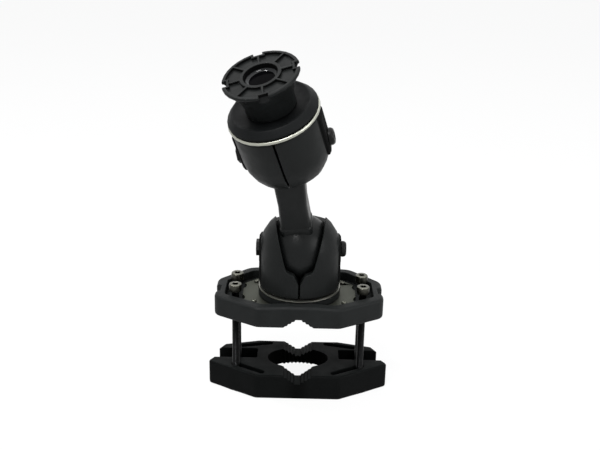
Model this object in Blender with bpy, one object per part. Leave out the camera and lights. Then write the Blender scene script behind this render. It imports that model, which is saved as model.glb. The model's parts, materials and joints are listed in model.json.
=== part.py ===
"""Phone mount: a four-bolt jaw clamp, two ball-and-socket turrets joined by an arm, and a round lock disc.

Metres, +Z up. The origin is on the axis of the clamped bar, which runs along Y midway between the jaws.
The front of the mount faces -Y.
"""

import math

import bmesh
import bpy
from mathutils import Matrix, Vector

for old_object in list(bpy.data.objects):
    bpy.data.objects.remove(old_object)

MM = 0.001

# Fits: the gap left between two pieces that touch, and the play of a round piece in its hole.
SEAT_GAP = 0.3 * MM
HOLE_PLAY = 0.3 * MM

# Jaw bolts and nuts.
BOLT_X = 34.4 * MM
BOLT_Y = 7.6 * MM
BOLT_R = 2.0 * MM
BOLT_HEAD_R = 3.5 * MM
BOLT_HEAD_H = 4.0 * MM
BOLT_STANDOFF = 5.5 * MM
BOLT_HEX = 3.0 * MM
BOLT_HEX_DEPTH = 2.2 * MM
NUT_ACROSS = 7.0 * MM
NUT_H = 3.2 * MM
SCREW_EDGE = 0.18

# The V notch that both jaws share.
JAW_GAP = 32.6 * MM
V_HALF_WIDTH = 9.0 * MM
V_DEPTH = 4.9 * MM
V_ROOT_HALF = 1.6 * MM
TOOTH_COUNT = 4
TOOTH_H = 0.6 * MM

# Upper jaw: a tray with a rim that rises at the middle of its long sides.
UPPER_JAW_H = 11.6 * MM
UPPER_WALL = 5.0 * MM
UPPER_FLAT_HALF = 22.0 * MM
UPPER_LOBE = 11.0 * MM
UPPER_CORNER_R = 9.0 * MM
UPPER_LOBE_R = 5.5 * MM
TRAY_CORNER_R = 2.0 * MM
RIM_WALL = 5.5 * MM
RIM_HUMP = 0.7 * MM
HUMP_INNER = 5.0 * MM
HUMP_MARGIN = 3.0 * MM
TRAY_DEPTH = 4.9 * MM
LOBE_NOTCH = 2.8 * MM
LOBE_NOTCH_W = 6.0 * MM
PLATE_T = 1.3 * MM
PLATE_END_INSET = 3.6 * MM
PLATE_CORNER_R = 4.0 * MM
HEAD_CLEARANCE = 1.6 * MM
PLATE_SCREW_R = 0.9 * MM
PLATE_SCREW_HEAD_R = 1.5 * MM
PLATE_SCREW_HEAD_H = 0.8 * MM
PLATE_SCREW_L = 3.2 * MM

# Lower jaw: a six-sided block, open between its lobes, with a through-pocket in the middle.
LOWER_JAW_H = 14.4 * MM
LOWER_HALF_DEPTH = 20.5 * MM
LOWER_FLAT_HALF = 23.0 * MM
FRONT_LOBE = 16.2 * MM
REAR_LOBE = 10.9 * MM
FRONT_LOBE_Y = 4.5 * MM
REAR_LOBE_Y = 15.3 * MM
LOBE_SLANT = 2.8 * MM
LOBE_TIP_R = 2.0 * MM
LOWER_CORNER_R = 5.0 * MM
CHANNEL_Y = 4.9 * MM
CHANNEL_W = 10.8 * MM
CHANNEL_END_X = 23.0 * MM
CHANNEL_R = 1.0 * MM
POCKET_DEPTH = 8.0 * MM
SLOT_W = 3.2 * MM
SLOT_LENGTH = 17.0 * MM
SLOT_WALL = 2.0 * MM
OVAL_HALF_X = 17.0 * MM
OVAL_HALF_Y = 11.0 * MM
OVAL_Y = 0.6 * MM
OVAL_RIB = 1.3 * MM
OVAL_RIB_PITCH = 2.2 * MM
OVAL_RIBS = 8
ARCH_HALF_W = 13.0 * MM
ARCH_H = 5.0 * MM
ARCH_R = 2.0 * MM
EDGE = 0.8 * MM

# Turrets: two half shells on a ball, clamped by one cross screw.
SHELL_R = 21.8 * MM
SHELL_WALL = 2.8 * MM
BALL_PLAY = 0.3 * MM
SPLIT = 0.9 * MM
RING_PROUD = 0.8 * MM
TURRET_TUCK = 0.9 * MM
TURRET_RING_T = 1.0 * MM
HEAD_TUCK = 3.6 * MM
HEAD_RING_T = 1.8 * MM
FLANGE_T = 3.5 * MM
HEAD_FLANGE_T = 1.6 * MM
UPSTAND_INSET = 6.8 * MM
UPSTAND_WALL = 1.2 * MM
LIP_REACH = 1.4 * MM
LIP_T = 1.3 * MM
LIP_Z = 2.4 * MM
FLANGE_W = 6.0 * MM
PAD_PROUD = 0.1 * MM
PAD_HALF_W = 7.0 * MM
PAD_TOP = 7.8 * MM
PAD_FOOT = 2.6 * MM
PAD_FOOT_R = 2.0 * MM
PAD_TOP_R = 4.5 * MM
PAD_SLOPE = 1.5 * MM
PAD_SLOPE_DEPTH = 1.0 * MM
PAD_GROOVE_Z = 7.2 * MM
PAD_GROOVE_H = 3.0 * MM
U_DROP = 7.7 * MM
U_FUNNEL = 5.0 * MM
U_ROOT_HALF = 7.6 * MM
U_ROOT_Z = 4.0 * MM
U_TOP_HALF = 13.3 * MM
U_TOP_Z = 18.0 * MM
REAR_OPEN_DROP = 8.6 * MM

# Cross screws, with the bush that each ball turns on.
CROSS_R = 2.5 * MM
CROSS_HEAD_R = 4.3 * MM
CROSS_HEAD_H = 2.6 * MM
CROSS_HEX = 4.0 * MM
CROSS_HEX_DEPTH = 1.6 * MM
CROSS_NUT_ACROSS = 8.0 * MM
CROSS_NUT_H = 3.6 * MM
CROSS_NUT_SUNK = 2.2 * MM
BUSH_R = 5.5 * MM
BUSH_HALF = 4.3 * MM
BORE_MOUTH_R = 6.2 * MM

# Arm between the two balls.
ARM_LENGTH = 70.0 * MM
ARM_HALF_W = 8.0 * MM
ARM_WAIST_HALF_W = 7.4 * MM
ARM_HALF_D = 7.0 * MM
ARM_CHAMFER = 2.4 * MM
ARM_COLLAR_STEP = 0.4 * MM
ARM_COLLAR_H = 2.4 * MM

# Head: collar, lock disc and plug, as heights above the collar's underside.
COLLAR_PROUD = 0.4 * MM
COLLAR_TAPER = 2.5 * MM
COLLAR_LAND = 1.2 * MM
COLLAR_H = 4.3 * MM
DISH_DEPTH = 1.3 * MM
DISH_R = 14.5 * MM
DISC_R = 18.6 * MM
DISC_T = 1.8 * MM
DISC_TOP = 21.7 * MM
NECK_R = 12.2 * MM
NECK_STRAIGHT = 0.3
NECK_CURVE = 1.3
COLLAR_HOLE_R = 7.6 * MM
DISC_TURN = math.radians(7)
DISC_NOTCHES = 4
NOTCH_W = 4.4 * MM
NOTCH_DEPTH = 2.4 * MM
NOTCH_H = 5.5 * MM
DISC_POCKETS = 8
POCKET_IN_R = 10.0 * MM
POCKET_OUT_R = 16.8 * MM
SPOKE_W = 1.1 * MM
DISC_POCKET_DEPTH = 1.2 * MM
PLUG_HOLE_R = 8.2 * MM
PLUG_SUNK = 1.6 * MM
PLUG_T = 4.0 * MM
PLUG_CROWN = 2.2 * MM

# How the two joints stand: forward tilt, then sideways lean.
ARM_TILT = math.radians(22.5)
ARM_LEAN = math.radians(-7.0)
HEAD_LEAN = math.radians(-8.2)
HEAD_TILT = math.radians(1.2)

# Facets of round pieces.
ROUND = 32
BALL_ROUND = 24
SMALL_ROUND = 14
DOME_STEPS = 7
CORNER_STEPS = 3
SHARP_ANGLE = math.radians(32)
WELD = 0.001 * MM

# Places worked out from the sizes above.
RING_R = SHELL_R + RING_PROUD
PAD_X = SHELL_R + PAD_PROUD
TURRET_SEAT = SHELL_R - TURRET_TUCK
HEAD_SEAT = SHELL_R - HEAD_TUCK
UPSTAND_IN_R = SHELL_R - UPSTAND_INSET
FLANGE_HOLE_R = UPSTAND_IN_R - FLANGE_W
REAR_OPEN_Z = SHELL_R - REAR_OPEN_DROP
COLLAR_R = SHELL_R + COLLAR_PROUD
COLLAR_TOP_R = COLLAR_R - COLLAR_TAPER
UPPER_HALF_DEPTH = RING_R + UPPER_WALL
HUMP_OUTER = UPPER_FLAT_HALF - HUMP_MARGIN
UPPER_FACE_Z = JAW_GAP / 2
LOWER_FACE_Z = -JAW_GAP / 2
RIM_Z = UPPER_FACE_Z + UPPER_JAW_H
TRAY_Z = RIM_Z - TRAY_DEPTH
PLATE_Z = TRAY_Z + SEAT_GAP
PLATE_TOP = PLATE_Z + PLATE_T
FLANGE_Z = PLATE_TOP + SEAT_GAP
TURRET_BASE_Z = FLANGE_Z + FLANGE_T + TURRET_RING_T + 2 * SEAT_GAP
BALL_Z = TURRET_BASE_Z + TURRET_SEAT
SOCKET_R = SHELL_R - SHELL_WALL
BALL_R = SOCKET_R - BALL_PLAY
LIP_R = UPSTAND_IN_R + UPSTAND_WALL + LIP_REACH
FLANGE_R = RING_R - SEAT_GAP
FOOT_Z = LOWER_FACE_Z - LOWER_JAW_H
HEAD_TOP_Z = TRAY_Z + BOLT_STANDOFF + BOLT_HEAD_H


def material(name, colour, roughness, metallic):
    made = bpy.data.materials.new(name)
    made.use_nodes = True
    shader = made.node_tree.nodes["Principled BSDF"]
    shader.inputs["Base Color"].default_value = (*colour, 1.0)
    shader.inputs["Roughness"].default_value = roughness
    shader.inputs["Metallic"].default_value = metallic
    return made


def black_plastic(name, level=0.02):
    return material(name, (level, level, level), 0.55, 0.0)


def steel(name, colour=(0.55, 0.54, 0.50)):
    return material(name, colour, 0.35, 1.0)


def new_object(name, mesh_builder):
    """Links a new object that holds the builder's closed mesh, with its faces pointing out."""
    bmesh.ops.recalc_face_normals(mesh_builder, faces=mesh_builder.faces)
    mesh = bpy.data.meshes.new(name)
    mesh_builder.to_mesh(mesh)
    mesh_builder.free()
    made = bpy.data.objects.new(name, mesh)
    bpy.context.scene.collection.objects.link(made)
    return made


def loft(name, rings):
    """A solid through rings of equal length, capped at both ends."""
    builder = bmesh.new()
    loops = [[builder.verts.new(point) for point in ring] for ring in rings]
    for low, high in zip(loops, loops[1:]):
        for index in range(len(low)):
            builder.faces.new((low[index - 1], low[index], high[index], high[index - 1]))
    builder.faces.new(list(reversed(loops[0])))
    builder.faces.new(loops[-1])
    return new_object(name, builder)


def extruded(name, outline, low, high, along="Z"):
    """A prism of a flat outline. Along Y the outline is (x, z), and along X it is (y, z)."""
    place = {
        "Z": lambda u, v, w: (u, v, w),
        "Y": lambda u, v, w: (u, w, v),
        "X": lambda u, v, w: (w, u, v),
    }[along]
    return loft(name, [[place(u, v, w) for u, v in outline] for w in (low, high)])


def turned(name, profile, sides=ROUND, along="Z"):
    """A solid turned about an axis through the origin, from (radius, height) points.

    A profile that starts and ends on the axis is closed by two poles; any other is a closed loop.
    """
    builder = bmesh.new()
    rings = []
    for radius, height in profile:
        if radius == 0:
            rings.append([builder.verts.new((0, 0, height))])
            continue
        angles = [2 * math.pi * (step + 0.5) / sides for step in range(sides)]
        rings.append([
            builder.verts.new((radius * math.cos(a), radius * math.sin(a), height))
            for a in angles
        ])
    pairs = list(zip(rings, rings[1:]))
    if profile[0][0] > 0:
        pairs.append((rings[-1], rings[0]))
    for low, high in pairs:
        for index in range(sides):
            corners = [low[index - 1], low[index % len(low)]] if len(low) > 1 else [low[0]]
            corners += [high[index], high[index - 1]] if len(high) > 1 else [high[0]]
            builder.faces.new(corners)
    if along == "X":
        turn = Matrix(((0, 0, 1, 0), (1, 0, 0, 0), (0, 1, 0, 0), (0, 0, 0, 1)))
        builder.transform(turn)
    return new_object(name, builder)


def arc(radius, start, end, steps, centre=(0.0, 0.0)):
    """Points of an arc, by angle in degrees."""
    points = []
    for step in range(steps + 1):
        angle = math.radians(start + (end - start) * step / steps)
        points.append((centre[0] + radius * math.cos(angle), centre[1] + radius * math.sin(angle)))
    return points


def rounded(corners, steps=CORNER_STEPS):
    """A closed outline from (x, y, radius) corners; a corner of no radius stays one point."""
    outline = []
    for index, (x, y, radius) in enumerate(corners):
        here = Vector((x, y))
        if radius == 0:
            outline.append((x, y))
            continue
        to_last = Vector(corners[index - 1][:2]) - here
        to_next = Vector(corners[(index + 1) % len(corners)][:2]) - here
        half = to_last.angle(to_next) / 2
        reach = min(radius / math.tan(half), 0.49 * to_last.length, 0.49 * to_next.length)
        true_radius = reach * math.tan(half)
        middle = (to_last.normalized() + to_next.normalized()).normalized()
        centre = here + middle * (true_radius / math.sin(half))
        start = here + to_last.normalized() * reach - centre
        sweep = start.angle_signed(here + to_next.normalized() * reach - centre)
        for step in range(steps + 1):
            turn = Matrix.Rotation(-sweep * step / steps, 2)
            outline.append(tuple(centre + turn @ start))
    return outline


def inset(corners, distance, least_radius=0.0):
    """The same corners moved in by a distance, for an outline that runs anticlockwise."""
    moved = []
    for index, (x, y, radius) in enumerate(corners):
        here = Vector((x, y))
        back = (here - Vector(corners[index - 1][:2])).normalized()
        ahead = (Vector(corners[(index + 1) % len(corners)][:2]) - here).normalized()
        normal = Vector((-back.y - ahead.y, back.x + ahead.x)).normalized()
        slant = normal.dot(Vector((-ahead.y, ahead.x)))
        place = here + normal * (distance / slant)
        kept = max(radius - distance, least_radius) if radius else 0
        moved.append((place.x, place.y, kept))
    return moved


def both_sides(right_half):
    """The right half of an outline, front to rear, followed by its mirror image."""
    return right_half + [(-x, y, radius) for x, y, radius in reversed(right_half)]


def at_height(outline, height):
    return [(x, y, height) for x, y in outline]


def combine(target, tool, operation="DIFFERENCE"):
    """Cuts the tool from the target, or joins them, and removes the tool."""
    change = target.modifiers.new(operation.lower(), "BOOLEAN")
    change.operation = operation
    change.solver = "EXACT"
    change.object = tool
    graph = bpy.context.evaluated_depsgraph_get()
    mesh = bpy.data.meshes.new_from_object(target.evaluated_get(graph))
    target.modifiers.clear()
    target.data = mesh
    bpy.data.objects.remove(tool)


def finish(piece, surface, parent=None, place=None):
    """Gives a piece its material, smooth shading between sharp edges, its parent and its place."""
    builder = bmesh.new()
    builder.from_mesh(piece.data)
    bmesh.ops.remove_doubles(builder, verts=builder.verts, dist=WELD)
    builder.to_mesh(piece.data)
    builder.free()
    piece.data.materials.clear()
    piece.data.materials.append(surface)
    piece.data.shade_smooth()
    piece.data.set_sharp_from_angle(angle=SHARP_ANGLE)
    piece.parent = parent
    if place is not None:
        piece.matrix_local = place
    return piece


def copy_of(piece, name, surface, parent=None, place=None):
    """Another object with the same mesh shape and its own material."""
    twin = bpy.data.objects.new(name, piece.data.copy())
    bpy.context.scene.collection.objects.link(twin)
    return finish(twin, surface, parent, place)


def empty(name, parent=None, place=None):
    made = bpy.data.objects.new(name, None)
    bpy.context.scene.collection.objects.link(made)
    made.parent = parent
    if place is not None:
        made.matrix_local = place
    return made


def hexagon(across, turn=0.0):
    radius = across / math.sqrt(3)
    return arc(radius, turn, turn + 300, 5)


def cap_screw(name, shank_r, length, head_r, head_h, hex_across, hex_depth):
    """A socket cap screw with its head on +Z: the head's underside is at the origin."""
    edge = SCREW_EDGE * head_h
    screw = turned(name, [
        (0, -length),
        (shank_r - edge, -length),
        (shank_r, -length + edge),
        (shank_r, 0),
        (head_r, 0),
        (head_r, head_h - edge),
        (head_r - edge, head_h),
        (0, head_h),
    ], SMALL_ROUND)
    socket = extruded("socket", hexagon(hex_across), head_h - hex_depth, head_h + hex_depth)
    combine(screw, socket)
    return screw


def hex_nut(name, across, height, bore_r):
    nut = extruded(name, hexagon(across), 0, height)
    bore = turned("bore", [(0, -height), (bore_r, -height), (bore_r, 2 * height), (0, 2 * height)],
                  SMALL_ROUND)
    combine(nut, bore)
    return nut


def round_bar(name, radius, low, high, along="Z", sides=SMALL_ROUND):
    return turned(name, [(0, low), (radius, low), (radius, high), (0, high)], sides, along)


def v_notch(name, face_z, into, half_depth):
    """A cutter along Y for a toothed V that opens at face_z and goes into the jaw by V_DEPTH."""
    flank = []
    run = Vector((V_ROOT_HALF - V_HALF_WIDTH, into * V_DEPTH))
    inward = Vector((-run.y * into, run.x * into)).normalized()
    for tooth in range(TOOTH_COUNT):
        start = Vector((V_HALF_WIDTH, face_z)) + run * (tooth / TOOTH_COUNT)
        crest = start + run / (2 * TOOTH_COUNT) + inward * TOOTH_H
        flank += [tuple(start), tuple(crest)]
    flank.append((V_ROOT_HALF, face_z + into * V_DEPTH))
    mouth = (V_HALF_WIDTH, face_z - into * V_DEPTH)
    right = [mouth] + flank
    left = [(-x, z) for x, z in reversed(right)]
    return extruded(name, right + left, -2 * half_depth, 2 * half_depth, "Y")


def bolt_places():
    """(x, y) of the jaw bolts: front left, front right, rear left, rear right."""
    return [(sx * BOLT_X, sy * BOLT_Y) for sy in (-1, 1) for sx in (-1, 1)]


def rim_height(x):
    """Height of the tray's rim, which rises in a smooth hump at the middle of each long side."""
    share = (abs(x) - HUMP_INNER) / (HUMP_OUTER - HUMP_INNER)
    share = min(max(share, 0.0), 1.0)
    return RIM_Z + RIM_HUMP * (0.5 + 0.5 * math.cos(math.pi * share))


def upper_jaw_corners():
    end_x = BOLT_X + UPPER_LOBE
    depth = UPPER_HALF_DEPTH
    hump = [HUMP_OUTER * share for share in (0.0, 0.3, 0.5, 0.75, 1.0)]
    front = [(x, -depth, 0) for x in hump]
    rear = [(x, depth, 0) for x in reversed(hump)]
    ends = [
        (UPPER_FLAT_HALF, -depth, UPPER_CORNER_R),
        (end_x, -0.5 * depth, UPPER_LOBE_R),
        (end_x, 0.34 * depth, UPPER_LOBE_R),
        (UPPER_FLAT_HALF + 0.3 * (end_x - UPPER_FLAT_HALF), 0.95 * depth, UPPER_CORNER_R),
    ]
    right = front + ends + rear
    left = [(-x, y, radius) for x, y, radius in reversed(right) if x > 0]
    return right + left


def build_upper_jaw():
    corners = upper_jaw_corners()
    outer = rounded(corners)
    foot = rounded(inset(corners, EDGE))
    crown = rounded(inset(corners, 1.5 * EDGE))
    tray = rounded(inset(corners, RIM_WALL, TRAY_CORNER_R))
    jaw = loft("upper_jaw", [
        at_height(foot, UPPER_FACE_Z),
        at_height(outer, UPPER_FACE_Z + EDGE),
        [(x, y, rim_height(x) - 1.5 * EDGE) for x, y in outer],
        [(x, y, rim_height(x)) for x, y in crown],
        [(x, y, rim_height(x)) for x, y in tray],
        at_height(tray, TRAY_Z),
    ])
    combine(jaw, round_bar("well", FLANGE_R + 2 * SEAT_GAP, TRAY_Z, RIM_Z + 2 * RIM_HUMP, sides=ROUND))
    combine(jaw, v_notch("notch", UPPER_FACE_Z, 1, UPPER_HALF_DEPTH))
    for x, y in bolt_places():
        hole = round_bar("hole", BOLT_R + HOLE_PLAY, UPPER_FACE_Z - EDGE, RIM_Z + RIM_HUMP)
        hole.data.transform(Matrix.Translation((x, y, 0)))
        combine(jaw, hole)
    for x, y in plate_screw_places():
        hole = round_bar("hole", PLATE_SCREW_R + HOLE_PLAY, TRAY_Z - PLATE_SCREW_L, TRAY_Z + EDGE, sides=8)
        hole.data.transform(Matrix.Translation((x, y, 0)))
        combine(jaw, hole)
    for side in (-1, 1):
        end_x = side * (BOLT_X + UPPER_LOBE)
        bite = [
            (end_x - side * LOBE_NOTCH, -LOBE_NOTCH_W, 0),
            (end_x + side * LOBE_NOTCH, -1.5 * LOBE_NOTCH_W, 0),
            (end_x + side * LOBE_NOTCH, 0.5 * LOBE_NOTCH_W, 0),
            (end_x - side * LOBE_NOTCH, 0, 0),
        ]
        combine(jaw, extruded("bite", rounded(bite), UPPER_FACE_Z - EDGE, RIM_Z + EDGE))
    finish(jaw, black_plastic("upper_jaw", 0.024))


def plate_screw_places():
    """(x, y) of the small screws near the plate's corners."""
    x = 0.7 * BOLT_X
    y = 0.58 * (UPPER_HALF_DEPTH - RIM_WALL)
    return [(sx * x, sy * y) for sy in (-1, 1) for sx in (-1, 1)]


def build_base_plate():
    half_x = BOLT_X - PLATE_END_INSET
    half_y = UPPER_HALF_DEPTH - RIM_WALL - 2 * SEAT_GAP
    corner_x = UPPER_FLAT_HALF - RIM_WALL / 2
    right = [
        (corner_x, -half_y, PLATE_CORNER_R),
        (half_x, -0.5 * half_y, PLATE_CORNER_R),
        (half_x, 0.5 * half_y, PLATE_CORNER_R),
        (corner_x, half_y, PLATE_CORNER_R),
    ]
    plate = extruded("base_plate", rounded(both_sides(right)), PLATE_Z, PLATE_TOP)
    relief_r = BOLT_HEAD_R + HEAD_CLEARANCE
    for x, y in bolt_places():
        hollow = round_bar("hollow", relief_r, PLATE_Z - EDGE, PLATE_TOP + EDGE, sides=24)
        hollow.data.transform(Matrix.Translation((x, y, 0)))
        combine(plate, hollow)
    for x, y in plate_screw_places():
        hole = round_bar("hole", PLATE_SCREW_R + HOLE_PLAY, PLATE_Z - EDGE, PLATE_TOP + EDGE, sides=8)
        hole.data.transform(Matrix.Translation((x, y, 0)))
        combine(plate, hole)
    finish(plate, steel("base_plate", (0.16, 0.16, 0.14)))


def build_plate_screws():
    head_h = PLATE_SCREW_HEAD_H
    for number, (x, y) in enumerate(plate_screw_places(), 1):
        screw = turned(f"plate_screw_{number}", [
            (0, SEAT_GAP - PLATE_SCREW_L),
            (PLATE_SCREW_R, SEAT_GAP - PLATE_SCREW_L),
            (PLATE_SCREW_R, 0),
            (PLATE_SCREW_HEAD_R, 0),
            (PLATE_SCREW_HEAD_R, 0.4 * head_h),
            (0.6 * PLATE_SCREW_HEAD_R, head_h),
            (0, head_h),
        ], 8)
        place = Matrix.Translation((x, y, PLATE_TOP + SEAT_GAP))
        finish(screw, steel(f"plate_screw_{number}"), place=place)


def build_jaw_bolts():
    length = TRAY_Z + BOLT_STANDOFF - FOOT_Z - SEAT_GAP
    bolt = cap_screw("jaw_bolt_1", BOLT_R, length, BOLT_HEAD_R, BOLT_HEAD_H, BOLT_HEX, BOLT_HEX_DEPTH)
    for number, (x, y) in enumerate(bolt_places(), 1):
        name = f"jaw_bolt_{number}"
        place = Matrix.Translation((x, y, TRAY_Z + BOLT_STANDOFF))
        if number == 1:
            finish(bolt, steel(name), place=place)
        else:
            copy_of(bolt, name, steel(name), place=place)


def lower_jaw_corners():
    depth = LOWER_HALF_DEPTH
    front_x = BOLT_X + FRONT_LOBE
    rear_x = BOLT_X + REAR_LOBE
    right = [
        (LOWER_FLAT_HALF, -depth, LOWER_CORNER_R),
        (front_x, -FRONT_LOBE_Y, LOBE_TIP_R),
        (front_x - LOBE_SLANT, CHANNEL_Y - CHANNEL_W / 2, LOBE_TIP_R),
        (rear_x, CHANNEL_Y + CHANNEL_W / 2, LOBE_TIP_R),
        (rear_x - LOBE_SLANT, REAR_LOBE_Y, LOBE_TIP_R),
        (LOWER_FLAT_HALF, depth, LOWER_CORNER_R),
    ]
    return both_sides(right)


def slot_cutter(name, start, direction, low, high):
    """A round-ended slot that starts at a point and runs SLOT_LENGTH in a direction."""
    along = Vector(direction).normalized()
    heading = math.degrees(math.atan2(along.y, along.x))
    finish_point = Vector(start) + along * SLOT_LENGTH
    outline = arc(SLOT_W / 2, heading + 90, heading + 270, 5, start)
    outline += arc(SLOT_W / 2, heading - 90, heading + 90, 5, tuple(finish_point))
    return extruded(name, outline, low, high)


def oval_outline():
    """The through-pocket: an oval with upright ribs along the middle of its rear wall."""
    rib_reach = OVAL_RIBS * OVAL_RIB_PITCH / 2
    start = math.degrees(math.acos(rib_reach / OVAL_HALF_X))
    plain = arc(1.0, 180 - start, 360 + start, 18)
    points = [(OVAL_HALF_X * x, OVAL_Y + OVAL_HALF_Y * y) for x, y in plain]
    for step in range(1, 2 * OVAL_RIBS):
        x = rib_reach - step * OVAL_RIB_PITCH / 2
        wall = OVAL_HALF_Y * math.sqrt(1 - (x / OVAL_HALF_X)**2)
        points.append((x, OVAL_Y + wall - OVAL_RIB * (step % 2)))
    return points


def build_lower_jaw():
    corners = lower_jaw_corners()
    outer = rounded(corners)
    edge = rounded(inset(corners, EDGE))
    top = LOWER_FACE_Z
    jaw = loft("lower_jaw", [
        at_height(edge, FOOT_Z),
        at_height(outer, FOOT_Z + EDGE),
        at_height(outer, top - EDGE),
        at_height(edge, top),
    ])
    floor = top - POCKET_DEPTH
    above = top + EDGE
    combine(jaw, v_notch("notch", top, -1, LOWER_HALF_DEPTH))
    combine(jaw, extruded("oval", oval_outline(), FOOT_Z - EDGE, above))
    arch = rounded([
        (-ARCH_HALF_W, FOOT_Z - ARCH_H, 0),
        (ARCH_HALF_W, FOOT_Z - ARCH_H, 0),
        (ARCH_HALF_W, FOOT_Z + ARCH_H, ARCH_R),
        (-ARCH_HALF_W, FOOT_Z + ARCH_H, ARCH_R),
    ])
    combine(jaw, extruded("arch", arch, OVAL_Y, 2 * LOWER_HALF_DEPTH, "Y"))
    front_x = BOLT_X + FRONT_LOBE
    for side in (-1, 1):
        channel = [
            (side * CHANNEL_END_X, CHANNEL_Y - CHANNEL_W / 2, CHANNEL_R),
            (side * 2 * front_x, CHANNEL_Y - CHANNEL_W / 2, 0),
            (side * 2 * front_x, CHANNEL_Y + CHANNEL_W / 2, 0),
            (side * CHANNEL_END_X, CHANNEL_Y + CHANNEL_W / 2, CHANNEL_R),
        ]
        combine(jaw, extruded("channel", rounded(channel), floor, above))
        front_run = (side * (LOWER_FLAT_HALF - front_x), FRONT_LOBE_Y - LOWER_HALF_DEPTH)
        front_slot = slot_cutter("slot", (side * BOLT_X, -BOLT_Y), front_run, floor, above)
        combine(jaw, front_slot)
        rear_start = (side * (BOLT_X - SLOT_W / 2), REAR_LOBE_Y - SLOT_WALL)
        rear_run = (-side * (BOLT_X + REAR_LOBE - LOWER_FLAT_HALF), LOWER_HALF_DEPTH - REAR_LOBE_Y)
        combine(jaw, slot_cutter("slot", rear_start, rear_run, floor, above))
    for x, y in bolt_places():
        hole = round_bar("hole", BOLT_R + HOLE_PLAY, FOOT_Z - EDGE, above)
        hole.data.transform(Matrix.Translation((x, y, 0)))
        combine(jaw, hole)
        pocket = extruded("pocket", hexagon(NUT_ACROSS + 2 * HOLE_PLAY), FOOT_Z - EDGE, nut_top() + SEAT_GAP)
        pocket.data.transform(Matrix.Translation((x, y, 0)))
        combine(jaw, pocket)
    finish(jaw, black_plastic("lower_jaw", 0.012))


def nut_top():
    return FOOT_Z + SEAT_GAP + NUT_H


def build_jaw_nuts():
    nut = hex_nut("jaw_nut_1", NUT_ACROSS, NUT_H, BOLT_R + HOLE_PLAY)
    for number, (x, y) in enumerate(bolt_places(), 1):
        name = f"jaw_nut_{number}"
        place = Matrix.Translation((x, y, FOOT_Z + SEAT_GAP))
        if number == 1:
            finish(nut, steel(name), place=place)
        else:
            copy_of(nut, name, steel(name), place=place)


def build_flange(name, seat, ring_t, base_t, base_r, surface, parent):
    """A ring-shaped flange under a turret, with the upstand and lip that its shells close on."""
    base = -seat
    under_ring = base - ring_t - 2 * SEAT_GAP
    lip_low = base + LIP_Z
    wall_r = UPSTAND_IN_R + UPSTAND_WALL
    flange = turned(name, [
        (FLANGE_HOLE_R, under_ring - base_t),
        (base_r, under_ring - base_t),
        (base_r, under_ring),
        (wall_r, under_ring),
        (wall_r, lip_low),
        (LIP_R, lip_low),
        (LIP_R, lip_low + LIP_T),
        (UPSTAND_IN_R, lip_low + LIP_T),
        (UPSTAND_IN_R, under_ring),
        (FLANGE_HOLE_R, under_ring),
    ])
    finish(flange, surface, parent)


def build_ring(name, seat, ring_t, surface, parent):
    """The thin bright ring between a turret's shells and its flange."""
    top = -seat - SEAT_GAP
    inner = UPSTAND_IN_R + UPSTAND_WALL + HOLE_PLAY
    edge = 0.25 * ring_t
    ring = turned(name, [
        (inner, top - ring_t),
        (RING_R - edge, top - ring_t),
        (RING_R, top - ring_t + edge),
        (RING_R, top - edge),
        (RING_R - edge, top),
        (inner, top),
    ])
    finish(ring, surface, parent)


def u_outline():
    """The front opening, seen from the front: a root that runs out in a funnel, and spreading flanks."""
    root_r = U_ROOT_HALF
    root = arc(root_r, 270, 360, 4, (0, U_DROP - U_ROOT_Z - root_r))
    squash = (U_DROP - U_ROOT_Z) / root_r
    right = [(x, -U_ROOT_Z + (z - (U_DROP - U_ROOT_Z - root_r)) * squash) for x, z in root]
    right[0] = (SPLIT / 3, -U_DROP - U_FUNNEL)
    slope = (U_TOP_HALF - U_ROOT_HALF) / (U_TOP_Z + U_ROOT_Z)
    top_z = 1.5 * SHELL_R
    right.append((U_ROOT_HALF + slope * (top_z + U_ROOT_Z), top_z))
    left = [(-x, z) for x, z in reversed(right) if x > 1e-9]
    return right + left


def side_pad(side, seat, grooved):
    """A flat pad on one side of a turret, from above its foot to beyond the cross screw."""
    low = -seat + PAD_FOOT
    inner = 0.6 * SHELL_R
    pad = [
        (-PAD_HALF_W, low, PAD_FOOT_R),
        (PAD_HALF_W, low, PAD_FOOT_R),
        (PAD_HALF_W, PAD_TOP, PAD_TOP_R),
        (-PAD_HALF_W, PAD_TOP, PAD_TOP_R),
    ]
    face = rounded(inset(pad, PAD_SLOPE))
    body = rounded(pad)
    flat_x = side * PAD_X
    made = loft("pad", [
        [(side * inner, y, z) for y, z in body],
        [(flat_x - side * PAD_SLOPE_DEPTH, y, z) for y, z in body],
        [(flat_x, y, z) for y, z in face],
    ])
    if grooved:
        half = PAD_GROOVE_H / 2
        groove = [
            (SHELL_R, -PAD_GROOVE_Z - half),
            (2 * SHELL_R, -PAD_GROOVE_Z - half),
            (2 * SHELL_R, -PAD_GROOVE_Z + half),
            (SHELL_R, -PAD_GROOVE_Z + half),
        ]
        across = extruded("groove", [(side * x, z) for x, z in groove], -SHELL_R, SHELL_R, "Y")
        combine(made, across)
    return made


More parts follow.
